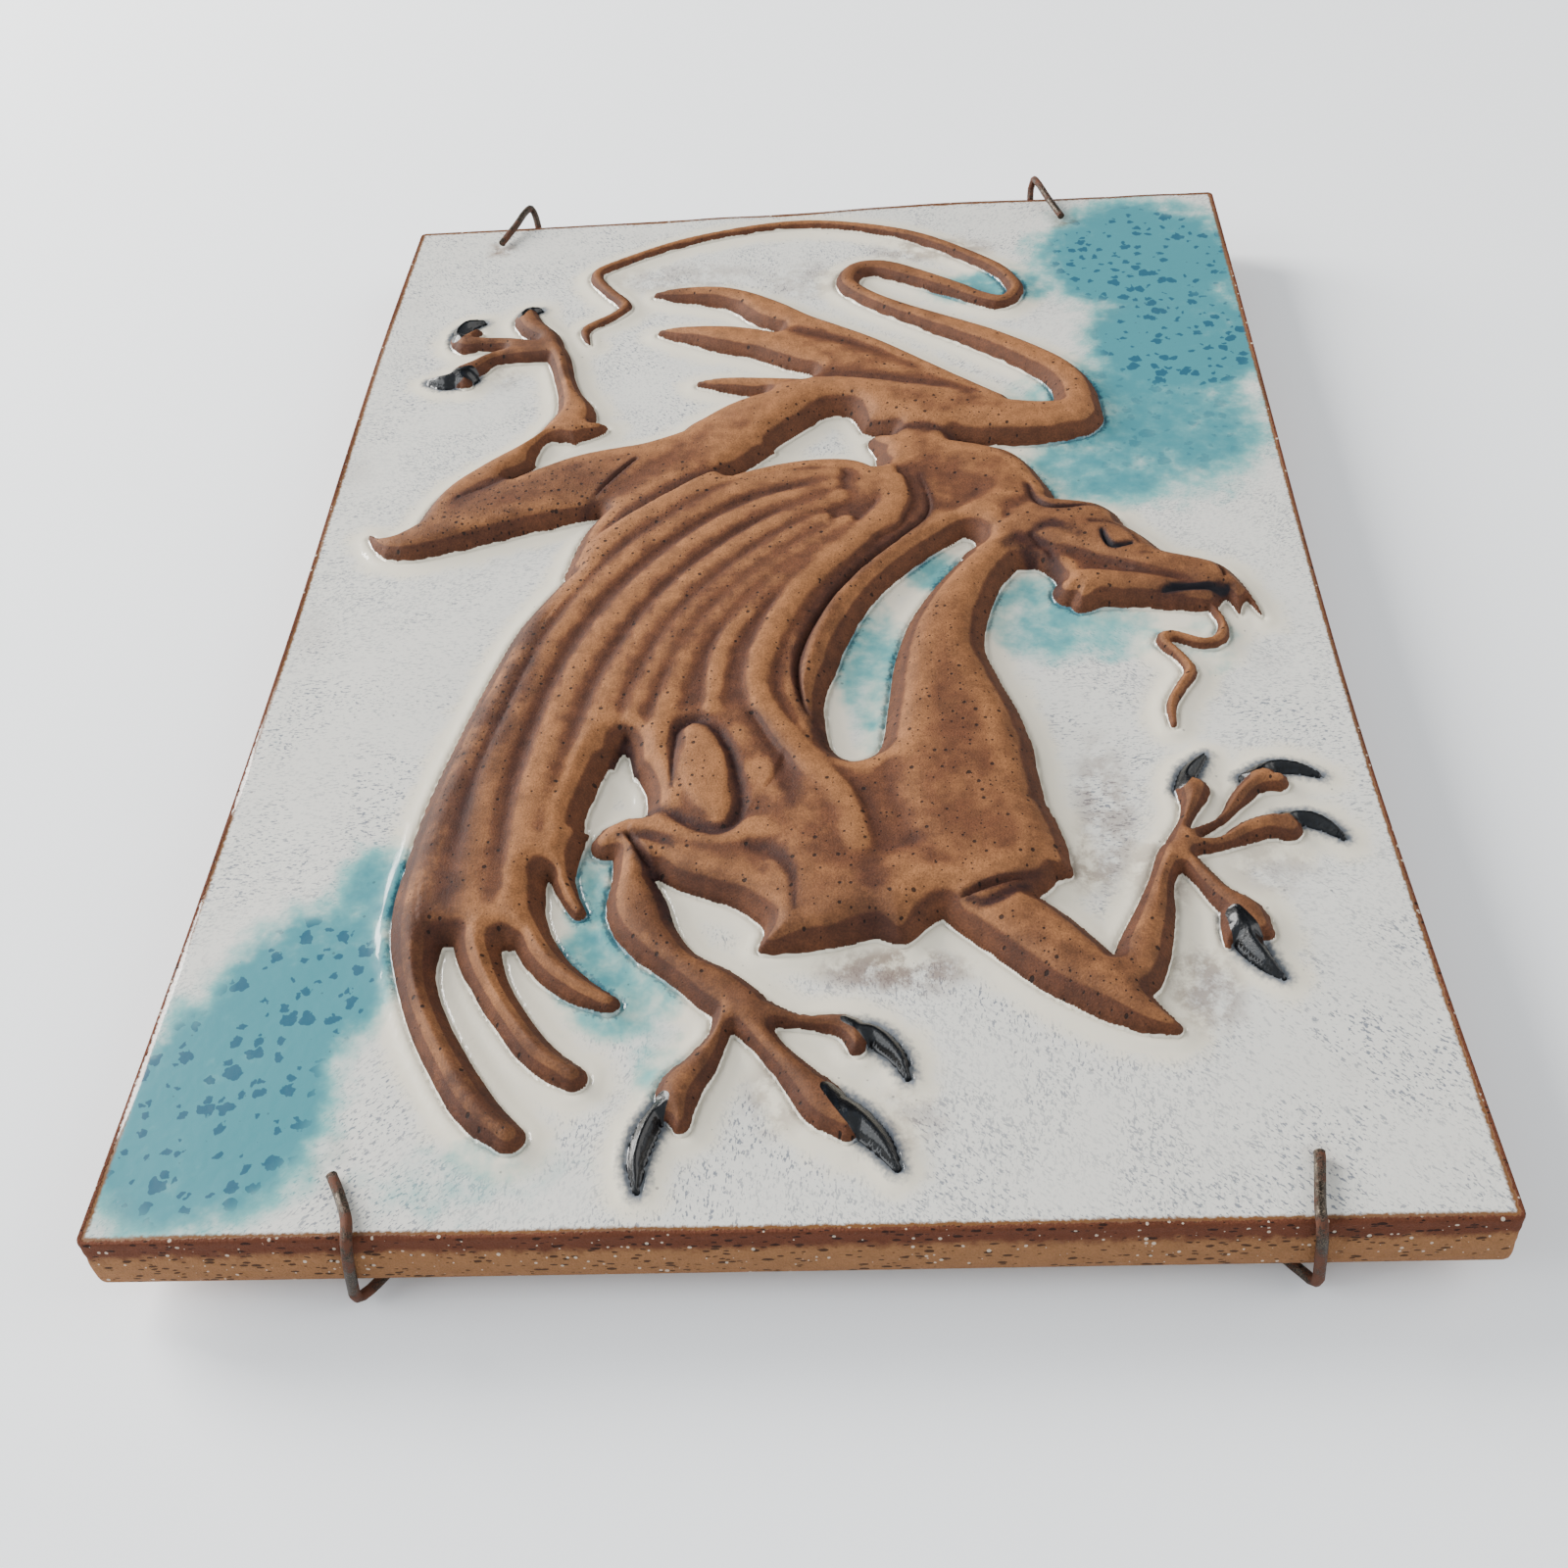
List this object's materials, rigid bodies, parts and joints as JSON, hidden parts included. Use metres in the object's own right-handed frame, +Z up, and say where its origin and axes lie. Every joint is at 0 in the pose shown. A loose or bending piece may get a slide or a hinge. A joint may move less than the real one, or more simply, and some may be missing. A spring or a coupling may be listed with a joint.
{
  "type": "wall plaque",
  "caption": "Upright fired clay tile with a dragon in relief, held at its edges by a sprung wire plate hanger that hangs on a nail.",
  "frame": {"origin": "where the hanger's wire bears on the nail: in the plane of the hanger's wires, at the tile's middle, 45 mm below its top edge", "axes": "+Z up, +X to the viewer's right, -Y out of the face towards the viewer, +Y into the wall"},
  "size_m": [0.2706, 0.0318, 0.4031],
  "materials": {
    "stoneware": "rough chamotte clay, bare on the figure and the sides, under a soft white glaze on the ground",
    "wire_steel": "bare steel wire, dulled and lightly rusted at its ends",
    "spring_steel": "close-wound bare spring steel"
  },
  "bodies": {
    "root": {"tile": "stoneware", "upper_wire": "wire_steel", "lower_wire": "wire_steel", "spring_left": "spring_steel", "spring_right": "spring_steel"}
  },
  "joints": []
}
